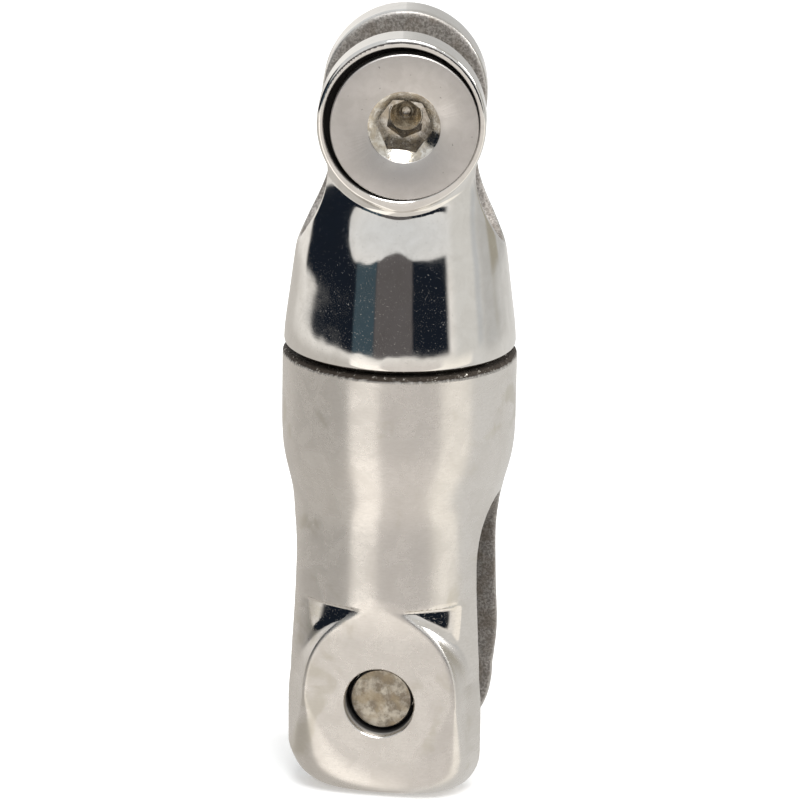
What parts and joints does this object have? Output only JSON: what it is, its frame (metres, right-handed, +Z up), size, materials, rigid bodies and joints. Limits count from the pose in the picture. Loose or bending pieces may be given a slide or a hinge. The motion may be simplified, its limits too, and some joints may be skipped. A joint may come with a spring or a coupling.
{
  "type": "anchor swivel",
  "caption": "Double-jaw anchor swivel: two stainless forks joined by a swivel bolt, each with a disc-headed pin for chain or anchor shank.",
  "frame": {"origin": "centre of the footprint of the anchor fork's flat ends, which it stands on", "axes": "+Z up the swivel axis from the anchor fork to the chain fork; the anchor pin lies along Y with its head on +Y; the chain fork rests turned 8 degrees about +Z"},
  "size_m": [0.0305, 0.0304, 0.1012],
  "materials": {
    "satin_stainless": "satin polished, faintly stained",
    "polished_stainless": "mirror polished with fine scratches",
    "turned_stainless": "fine turned",
    "socket_stainless": "dull with thread grease",
    "bearing_bronze": "machined bronze",
    "dark_bearing": "dull, greasy",
    "seal_rubber": "matte"
  },
  "bodies": {
    "anchor_fork": {"anchor_fork": "satin_stainless", "gland_nut": "turned_stainless", "journal_bush": "bearing_bronze", "load_washer": "bearing_bronze", "foot_washer": "bearing_bronze", "ring_washer": "dark_bearing"},
    "chain_fork": {"chain_fork": "polished_stainless", "swivel_bolt": "turned_stainless", "bolt_lock_screw": "socket_stainless", "bolt_seal": "seal_rubber"},
    "anchor_pin": {"anchor_pin": "turned_stainless", "anchor_pin_washer": "turned_stainless"},
    "anchor_lock": {"anchor_pin_lock_screw": "socket_stainless"},
    "chain_pin": {"chain_pin": "turned_stainless", "chain_pin_washer": "turned_stainless"},
    "chain_lock": {"chain_pin_lock_screw": "socket_stainless"}
  },
  "joints": [
    {"name": "swivel", "type": "hinge", "parent": "anchor_fork", "child": "chain_fork", "pos_m": [0, 0, 0.0583], "axis": [0, 0, 1], "continuous": true},
    {"name": "chain_pin_withdraw", "type": "slide", "parent": "chain_fork", "child": "chain_pin", "axis": [0.1392, -0.9903, 0], "range_m": [0, 0.06]},
    {"name": "chain_lock_withdraw", "type": "slide", "parent": "chain_pin", "child": "chain_lock", "axis": [0.1392, -0.9903, 0], "range_m": [0, 0.02]},
    {"name": "anchor_pin_withdraw", "type": "slide", "parent": "anchor_fork", "child": "anchor_pin", "axis": [0, 1, 0], "range_m": [0, 0.06]},
    {"name": "anchor_lock_withdraw", "type": "slide", "parent": "anchor_pin", "child": "anchor_lock", "axis": [0, 1, 0], "range_m": [0, 0.02]}
  ]
}
